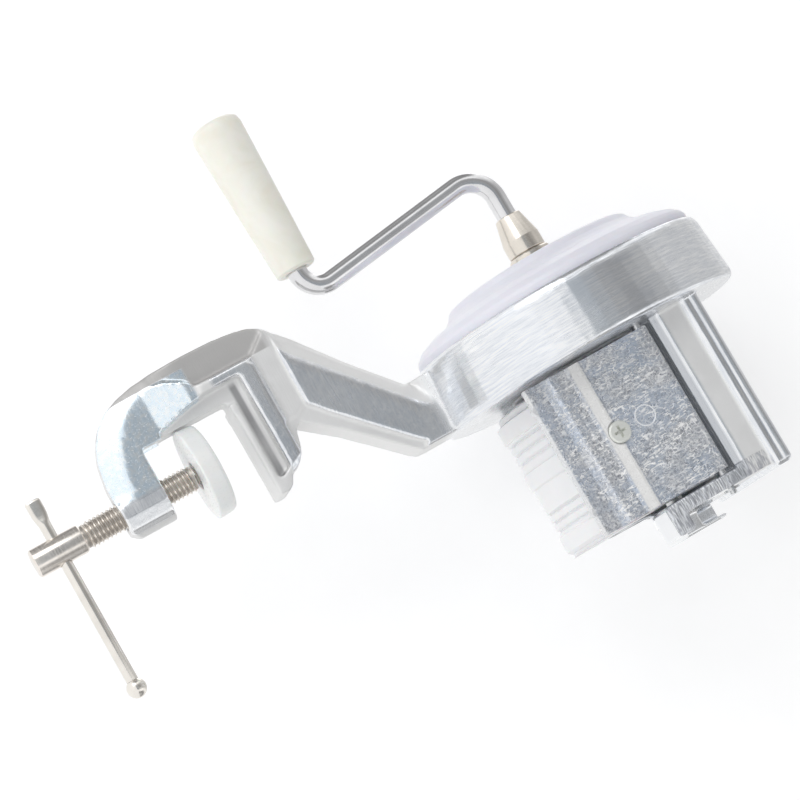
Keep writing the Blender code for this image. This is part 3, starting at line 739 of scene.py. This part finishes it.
def grating_drum():
    """Sheet drum: rows of round holes, each with a raised cutting lip on one side."""
    pitch = 2 * math.pi * DRUM_R / HOLE_COLUMNS
    rise = (DRUM_Y1 - DRUM_Y0 - 2 * PLAIN_RIM) / HOLE_ROWS
    verts, faces = [], []
    corners = [(-0.5, -0.5), (0, -0.5), (0.5, -0.5), (0.5, 0), (0.5, 0.5), (0, 0.5), (-0.5, 0.5), (-0.5, 0)]
    for c in range(HOLE_COLUMNS):
        for r in range(HOLE_ROWS):
            mid_a = (c + 0.5) * pitch
            mid_y = DRUM_Y0 + PLAIN_RIM + (r + 0.5) * rise
            base = len(verts)
            for u, v in corners:
                verts.append(drum_point(mid_a + u * pitch, mid_y + v * rise))
            for k in range(8):
                t = math.radians(225 + 45 * k)
                lift = TOOTH * max(0.0, math.cos(t)) ** 0.6 if math.cos(t) > 0 else 0.0
                verts.append(drum_point(mid_a + HOLE_R * math.cos(t) * (1 - 0.3 * (lift > 0)),
                                        mid_y + HOLE_R * math.sin(t), lift))
            for k in range(8):
                m = (k + 1) % 8
                faces.append((base + k, base + m, base + 8 + m, base + 8 + k))
    for low, high in ((DRUM_Y0, DRUM_Y0 + PLAIN_RIM), (DRUM_Y1 - PLAIN_RIM, DRUM_Y1)):
        for c in range(HOLE_COLUMNS * 2):
            base = len(verts)
            for k, y in ((0, low), (1, low), (1, high), (0, high)):
                verts.append(drum_point((c + k) * pitch / 2, y))
            faces.append((base, base + 1, base + 2, base + 3))
    drum = add("drum", verts, faces, STEEL, "crank", 50.0, "drum_shell")
    mod = drum.modifiers.new("Sheet", "SOLIDIFY")
    mod.thickness = SHEET_THICK * MM
    mod.offset = -1.0
    return drum


grating_drum()

# ---------------------------------------------------------------- press lever, shoe, screw

lever_line = [(PIN_X + 3.6 * math.cos(math.radians(a)), PIN_Z + 3.6 * math.sin(math.radians(a)))
              for a in range(0, 263, 12)]
flutes = fillet([
    (44.8, 112.0), (46.4, 108.6), (50.6, 108.6), (51.2, 109.3), (51.2, 110.9), (50.2, 111.8), (48.6, 114.5),
    (48.0, 117.6), (48.6, 120.6), (49.4, 122.0), (49.5, 122.9), (49.1, 123.8), (48.2, 126.4), (48.0, 130.2),
    (48.5, 132.4), (50.2, 136.0), (50.3, 137.3), (48.8, 138.2)], 0.7, 4)
LEVER_Y0 = side("press_lever", 1, False)
LEVER_Y1 = side("press_lever", 1, True)
SCREW_Y = (side("press_screw", 1, False) + side("press_screw", 1, True)) / 2
SCREW_Z = (side("press_screw", 2, False) + side("press_screw", 2, True)) / 2
PLATE_X = 48.9
SLOPE_Z = 138.9
NUB_YS = (52.4, 103.1)      # two low nubs in the lower flute
NUB_Z = 110.2


def ring_mesh(radius_low, radius_high, x_low, x_high, y, z, steps=48):
    """Closed cone or cylinder along X for cutting."""
    verts, faces = [], []
    for x, r in ((x_low, radius_low), (x_high, radius_high)):
        for k in range(steps):
            t = 2 * math.pi * k / steps
            verts.append((x * MM, (y + r * math.cos(t)) * MM, (z + r * math.sin(t)) * MM))
    faces.append(tuple(range(steps)))
    faces.append(tuple(range(steps, 2 * steps)))
    faces += [(k, (k + 1) % steps, steps + (k + 1) % steps, steps + k) for k in range(steps)]
    mesh = bpy.data.meshes.new("cut")
    mesh.from_pydata(verts, [], faces)
    tidy(mesh, 30)
    return mesh


lever_mesh = shape("press_plate", lever_line + flutes, LEVER_Y0, LEVER_Y1, "Y")
lever_mesh = combine(lever_mesh, ring_mesh(5.9, 5.9, 49.0, 54, SCREW_Y, SCREW_Z))
lever_mesh = combine(lever_mesh, ring_mesh(2.3, 5.6, 46.2, 49.1, SCREW_Y, SCREW_Z))
# the plate's front edge slopes back above the flutes
slope = shape("slope", [(LEVER_Y0 - 1, PLATE_X - 1.3), (LEVER_Y0 + 4.6, PLATE_X - 0.05), (LEVER_Y0 + 4.6, 52),
                        (LEVER_Y0 - 1, 52)], 0, 1)
for v in slope.vertices:
    x, y, z = v.co
    v.co = (z, y, (SLOPE_Z + 30 * x / MM) * MM)
tidy(slope, 30)
lever_mesh = combine(lever_mesh, slope)
for nub_y in NUB_YS:
    lever_mesh = combine(lever_mesh, ring_mesh(2.6, 2.2, 47.0, 51.6, nub_y, NUB_Z, 24), "UNION")
tidy(lever_mesh, 28)
plate = place("press_plate", lever_mesh, DIECAST, "lever", "press_lever")
smooth_edges(plate, 0.45, 2, 32)

SHOE_BORE = 36.5
SHOE_R = 52.8
# start, end and height of each band along the shoe
BANDS = ((0.0, 4.0, -1.6), (4.0, 12.5, 0.9), (13.6, 15.2, -1.2), (18.1, 19.7, -1.2), (22.6, 24.2, -1.2),
         (28.0, 36.5, 0.9), (48.4, 50.0, -1.2), (52.7, 54.3, -1.2), (57.0, 58.6, -1.2), (60.0, 68.5, 0.9),
         (69.0, 71.4, -1.4))
SHOE_Y0 = side("press_shoe", 1, False)
SHOE_LOW = -104.0       # degrees above +X round the crank axis
SHOE_HIGH, BORE_HIGH = 11.5, 11.0
SHOE_FLAT_X = 44.4
SHOE_TOP_Z = 164.6
SHOE_NOSE = 4.0


def shoe_radius(along):
    """Outer radius at a distance from the shoe's front end: chamfer, raised bands, shallow grooves."""
    out = SHOE_R
    soft = 0.45
    for low, high, step in BANDS:
        t = min(1.0, max(0.0, (along - low) / soft)) * min(1.0, max(0.0, (high - along) / soft))
        out += step * t
    if along < SHOE_NOSE:
        out = min(out, SHOE_R - 5.5 + 5.5 * math.sqrt(max(0.0, 1 - (1 - along / SHOE_NOSE) ** 2)))
    return out


def press_shoe():
    """Grid swept round the crank axis, cut flat where it meets the lever plate."""
    length = side("press_shoe", 1, True) - SHOE_Y0
    cols = 160
    rows = 48
    verts, faces = [], []
    for i in range(cols + 1):
        along = length * i / cols
        y = SHOE_Y0 + along
        radius = shoe_radius(along)
        line = []
        for k in range(rows + 1):
            t = math.radians(SHOE_LOW + (SHOE_HIGH - SHOE_LOW) * k / rows)
            reach = radius if radius * math.cos(t) <= SHOE_FLAT_X else SHOE_FLAT_X / math.cos(t)
            line.append((reach * math.cos(t), min(AXIS_Z + reach * math.sin(t), SHOE_TOP_Z)))
        for k in range(rows, -1, -1):
            t = math.radians(SHOE_LOW + (BORE_HIGH - SHOE_LOW) * k / rows)
            line.append((SHOE_BORE * math.cos(t), AXIS_Z + SHOE_BORE * math.sin(t)))
        verts += [(x, y, z) for x, z in line]
        n = len(line)
        if i:
            base = (i - 1) * n
            faces += [(base + k, base + (k + 1) % n, base + n + (k + 1) % n, base + n + k) for k in range(n)]
    faces.append(tuple(range(n)))
    faces.append(tuple(range(cols * n, cols * n + n)))
    return add("shoe", verts, faces, WHITE, "lever", 40.0, "press_shoe")


shoe = press_shoe()

shoe_screw = turned("shoe_screw", [
    (0, 50.2), (4.3, 50.15), (5.2, 49.4), (1.95, 46.2), (1.95, 34.4), (0, 33.6)],
    ZINC, "lever", "press_screw", axis="X", at=(0, SCREW_Y, SCREW_Z), steps=64, round_mm=0.2)


def cross_cut(mesh):
    """Cross recess: two tapered blades, each from outside the head down to its floor."""
    for wide_y, wide_z in ((3.0, 0.62), (0.62, 3.0)):
        verts = []
        for x, k in ((51.0, 1.15), (48.2, 0.55)):
            for sy, sz in ((-1, -1), (1, -1), (1, 1), (-1, 1)):
                verts.append((x * MM, (SCREW_Y + sy * wide_y * k) * MM, (SCREW_Z + sz * wide_z * k) * MM))
        faces = [(0, 1, 2, 3), (4, 5, 6, 7)] + [(k, (k + 1) % 4, 4 + (k + 1) % 4, 4 + k) for k in range(4)]
        blade = bpy.data.meshes.new("blade")
        blade.from_pydata(verts, [], faces)
        tidy(blade, 30)
        mesh = combine(mesh, blade)
    return mesh


cut = cross_cut(shoe_screw.data)
tidy(cut, 30)
shoe_screw.data = cut

for look, nodes in (
        (STEEL, ("hinge_pin", "hinge_clip_front", "hinge_clip_rear", "grip_retainer", "pad_retainer",
                 "cap_screw_1", "cap_screw_2", "cap_screw_3")),
        (WHITE, ("drum_front_disc", "drum_rear_spider"))):
    for node in nodes:
        NODES[node].data.materials.clear()
        NODES[node].data.materials.append(look)

# ---------------------------------------------------------------- clamp screw, pad, bar

THREAD_R = 6.3
ROOT_R = 5.35
PITCH = 2.117
THREAD_TOP = -28.4
THREAD_END = -82.6
BAR_HOLE_R = 3.2
BARREL_R = side("clamp_screw", 0, True)
BARREL_END = side("clamp_screw", 2, False)


def threaded_screw():
    """Core with a helical ridge, plain barrel and a cross hole for the bar."""
    per_turn = 48
    # share of the pitch and radius along one thread
    flank = ((0.0, ROOT_R), (0.12, ROOT_R), (0.42, THREAD_R), (0.58, THREAD_R), (0.88, ROOT_R),
             (1.0, ROOT_R))
    turns = (THREAD_TOP - THREAD_END) / PITCH
    count = int(turns * per_turn)
    verts, faces = [], []
    n = len(flank)
    for i in range(count + 1):
        t = 2 * math.pi * i / per_turn
        fade = min(1.0, i / per_turn / 0.8, (count - i) / per_turn / 0.8)
        for share, radius in flank:
            r = ROOT_R + (radius - ROOT_R) * fade
            z = THREAD_TOP - PITCH * (i / per_turn + share - 0.5)
            verts.append((r * math.cos(t), -r * math.sin(t), z))
        if i:
            a = (i - 1) * n
            faces += [(a + k, a + k + 1, a + n + k + 1, a + n + k) for k in range(n - 1)]
    ridge = bpy.data.meshes.new("ridge")
    ridge.from_pydata([tuple(c * MM for c in v) for v in verts], [], faces)
    tidy(ridge, 40)
    core = turned("clamp_rod", [
        (0, -20.4), (4.4, -20.4), (5.3, -21.2), (5.3, -23.2), (4.0, -23.8), (4.0, -27.2),
        (ROOT_R - 0.02, -28.0), (ROOT_R - 0.02, -83.7), (6.1, -83.7), (BARREL_R, -84.4),
        (BARREL_R, BARREL_END + 1.2), (5.6, BARREL_END + 0.3), (0, BARREL_END)],
        NICKEL_Z, "screw", "clamp_screw", axis="Z", steps=64)
    ring = [(BAR_HOLE_R * math.cos(math.radians(9 * k)), BAR_Z + BAR_HOLE_R * math.sin(math.radians(9 * k)))
            for k in range(40)]
    cut_core = combine(core.data, shape("hole", ring, -12, 12, "Y"))
    joined = bmesh.new()
    joined.from_mesh(cut_core)
    joined.from_mesh(ridge)
    joined.to_mesh(cut_core)
    joined.free()
    cut_core.polygons.foreach_set("use_smooth", [True] * len(cut_core.polygons))
    cut_core.set_sharp_from_angle(angle=math.radians(38))
    core.data = cut_core
    return core


clamp_rod = threaded_screw()
pad = turned("pad", [
    (0, -17.1), (18.6, -17.1), (20.4, -17.6), (21.2, -19.0), (21.8, -25.6), (21.5, -26.4), (20.8, -26.6),
    (6.6, -26.6), (6.6, -19.8), (0, -19.8)], PAD, "pad", "clamp_pad", axis="Z", steps=128, round_mm=0.7)


def sliding_bar():
    """Round bar whose front end is hammered flat."""
    # place along the bar, half width along X and Z
    stations = [(-25.2, 1.5, 3.1), (-24.9, 1.75, 3.5), (-24, 1.8, 3.7), (-20, 1.75, 3.7), (-17.5, 1.9, 3.55),
                (-15.5, 2.3, 3.15), (-13.5, 2.7, 2.85), (-12, 2.8, 2.8), (68.6, 2.8, 2.8), (69, 2.5, 2.5)]
    sides = 40
    verts, faces = [], []
    for y, half_x, half_z in stations:
        power = 0.55 if half_x < half_z - 0.3 else 1.0
        for k in range(sides):
            t = 2 * math.pi * k / sides
            c, s = math.cos(t), math.sin(t)
            verts.append((half_x * math.copysign(abs(c) ** power, c), y,
                          BAR_Z + half_z * math.copysign(abs(s) ** power, s)))
    for i in range(len(stations) - 1):
        for k in range(sides):
            a, b = i * sides + k, i * sides + (k + 1) % sides
            faces.append((a, b, b + sides, a + sides))
    faces.append(tuple(range(sides)))
    faces.append(tuple(range(len(verts) - sides, len(verts))))
    return add("bar", verts, faces, NICKEL_BAR, "bar", 40.0, "tommy_bar")


sliding_bar()
BALL_Y = 69.0
BALL_R = 4.6
ball_line = [(0, BALL_Y + BALL_R)]
ball_line += [(BALL_R * math.sin(math.radians(a)), BALL_Y + BALL_R * math.cos(math.radians(a)))
              for a in range(6, 142, 6)]
ball_line += [(3.0, 65.5), (3.0, 69.3), (0, 69.3)]
ball = turned("ball", ball_line, NICKEL_BAR, "bar", "tommy_ball", at=(0, 0, BAR_Z), steps=64, round_mm=0.0)

# ---------------------------------------------------------------- stage, light, camera

TARGET = Vector((0, 0.0141, 0.0709))        # the camera looks here, m
DISTANCE = 1.35                             # and stands this far off
LENS_MM = 135.0
SENSOR_MM = 36.0
AZIMUTH = math.radians(5.67)                # from +X towards +Y
BELOW = math.radians(12.55)
ROLL = math.radians(-61.15)                 # the object lies rolled on its side in the photograph
FLOOR_Z = -0.6
SHEET_X = -0.079                            # just past the casting's far side
WORLD_STRENGTH = 1.05


def camera():
    """Camera at the photograph's angle; returns its right, up and backward directions."""
    back = Vector((math.cos(BELOW) * math.cos(AZIMUTH), math.cos(BELOW) * math.sin(AZIMUTH),
                   -math.sin(BELOW)))
    right = Vector((-math.sin(AZIMUTH), math.cos(AZIMUTH), 0))
    up = back.cross(right)
    x = right * math.cos(ROLL) - up * math.sin(ROLL)
    y = right * math.sin(ROLL) + up * math.cos(ROLL)
    data = bpy.data.cameras.new("camera")
    data.sensor_width = SENSOR_MM
    data.lens = LENS_MM
    data.clip_end = 50
    obj = bpy.data.objects.new("camera", data)
    turned_by = Matrix((x, y, back)).transposed().to_4x4()
    obj.matrix_world = Matrix.Translation(TARGET + back * DISTANCE) @ turned_by
    bpy.context.scene.collection.objects.link(obj)
    bpy.context.scene.camera = obj
    return x, y, back


def area(name, spot, size, power):
    """Soft square light aimed at the object; size in metres, power in watts."""
    data = bpy.data.lights.new(name, "AREA")
    data.size = size
    data.energy = power
    obj = bpy.data.objects.new(name, data)
    obj.location = spot
    obj.rotation_euler = (TARGET - Vector(spot)).to_track_quat("-Z", "Y").to_euler()
    bpy.context.scene.collection.objects.link(obj)


image_x, image_y, toward = camera()
area("key", TARGET + toward * 0.9 - image_x * 0.7 + image_y * 0.9, 0.8, 3.0)
area("fill", TARGET + toward * 0.8 + image_x * 1.1 - image_y * 0.2, 0.9, 0.6)
area("back", TARGET - toward * 1.0 + image_y * 0.8, 1.0, 1.0)

# what the metal mirrors, by direction round the crank's Y axis: degrees above +X, brightness
SURROUND = ((-180, 1.05), (-158, 1.0), (-142, 0.64), (-104, 0.66), (-92, 1.30), (-31, 1.40), (-18, 0.80),
            (-8, 0.40), (20, 0.37), (38, 0.32), (56, 0.45), (76, 0.60), (128, 0.64), (158, 0.85), (180, 1.05))
# the same past the crank and past the hopper: share of the way from -Y to +Y, brightness
ENDS = ((0.0, 0.40), (0.05, 0.26), (0.10, 0.34), (0.14, 1.05), (0.25, 1.15), (0.78, 1.10), (0.87, 0.95),
        (0.91, 0.34), (0.96, 0.28), (1.0, 0.60))


def ramp(nodes, value, stops):
    """Colour by a value from 0 to 1; each stop is a place and a colour."""
    new = nodes.node("ShaderNodeValToRGB")
    elements = new.color_ramp.elements
    for position, _ in stops[1:-1]:
        elements.new(position)
    for element, (position, color) in zip(elements, stops):
        element.position = position
        element.color = color
    nodes.link(value, new.inputs["Fac"])
    return new.outputs["Color"]


def world():
    """White to the eye; the metal mirrors white floor and walls with a dim zone past the camera."""
    new = bpy.data.worlds.new("studio")
    bpy.context.scene.world = new
    new.use_nodes = True
    w = Nodes(new.node_tree, "Generated")
    x, y, z = w.xyz()
    round_stops = []
    for degrees, tone in SURROUND:
        cool = 0.04 if -20 < degrees < 15 else 0.0
        round_stops.append(((degrees + 180) / 360, (tone - cool, tone, tone + cool, 1)))
    end_stops = [(place_y, (tone, tone, tone, 1)) for place_y, tone in ENDS]
    around = ramp(w, w.remap(w.math("ARCTAN2", z, x), -math.pi, math.pi, 0.0, 1.0), round_stops)
    sideways = ramp(w, w.remap(y, -1.0, 1.0, 0.0, 1.0), end_stops)
    is_end = w.remap(w.math("ABSOLUTE", y), 0.35, 0.65, 0.0, 1.0, "SMOOTHSTEP")
    uneven = w.remap(w.noise(2.6, 2.0, rough=0.5), 0.35, 0.65, 0.86, 1.1)
    mirrored = w.mix(1.0, w.mix(is_end, around, sideways), uneven, "MULTIPLY")
    is_seen = w.node("ShaderNodeLightPath").outputs["Is Camera Ray"]
    background = w.tree.nodes["Background"]
    w.feed((background.inputs["Color"], w.mix(is_seen, mirrored, (1.0, 1.0, 1.0))),
           (background.inputs["Strength"], WORLD_STRENGTH))


def backdrop(name, look, corners, glow):
    """Flat sheet of the stage with a faint glow of its own."""
    look.out.inputs["Emission Color"].default_value = (1, 1, 1, 1)
    look.out.inputs["Emission Strength"].default_value = glow
    mesh = bpy.data.meshes.new(name)
    mesh.from_pydata(corners, [], [(0, 1, 2, 3)])
    mesh.materials.append(look.mat)
    obj = bpy.data.objects.new(name, mesh)
    bpy.context.scene.collection.objects.link(obj)
    return obj


def floor():
    look = Shader("floor_paper", (0.9, 0.9, 0.9), 0.0, 0.8)
    corners = [(x, y, FLOOR_Z) for x, y in ((-6, -6), (6, -6), (6, 6), (-6, 6))]
    backdrop("floor", look, corners, 0.35)


def sheet():
    """White sheet behind the object that catches soft shadows; seen only from its front."""
    look = Shader("sheet_paper", (0.86, 0.86, 0.86), 0.0, 0.9)
    grain = look.noise(60.0, 2.0)
    look.set("Base Color", look.mix(grain, (0.80, 0.80, 0.805), (0.84, 0.84, 0.845)))
    clear = look.node("ShaderNodeBsdfTransparent")
    both_sides = look.node("ShaderNodeMixShader")
    look.link(look.node("ShaderNodeNewGeometry").outputs["Backfacing"], both_sides.inputs[0])
    look.link(look.out.outputs[0], both_sides.inputs[1])
    look.link(clear.outputs[0], both_sides.inputs[2])
    look.link(both_sides.outputs[0], look.tree.nodes["Material Output"].inputs["Surface"])
    corners = [(SHEET_X, y, z) for y, z in ((-4, -4), (4, -4), (4, 4), (-4, 4))]
    obj = backdrop("sheet", look, corners, 0.36)
    obj.visible_glossy = False
    obj.visible_diffuse = False
    obj.visible_shadow = False


world()
floor()
sheet()
bpy.context.scene.view_settings.view_transform = "Standard"
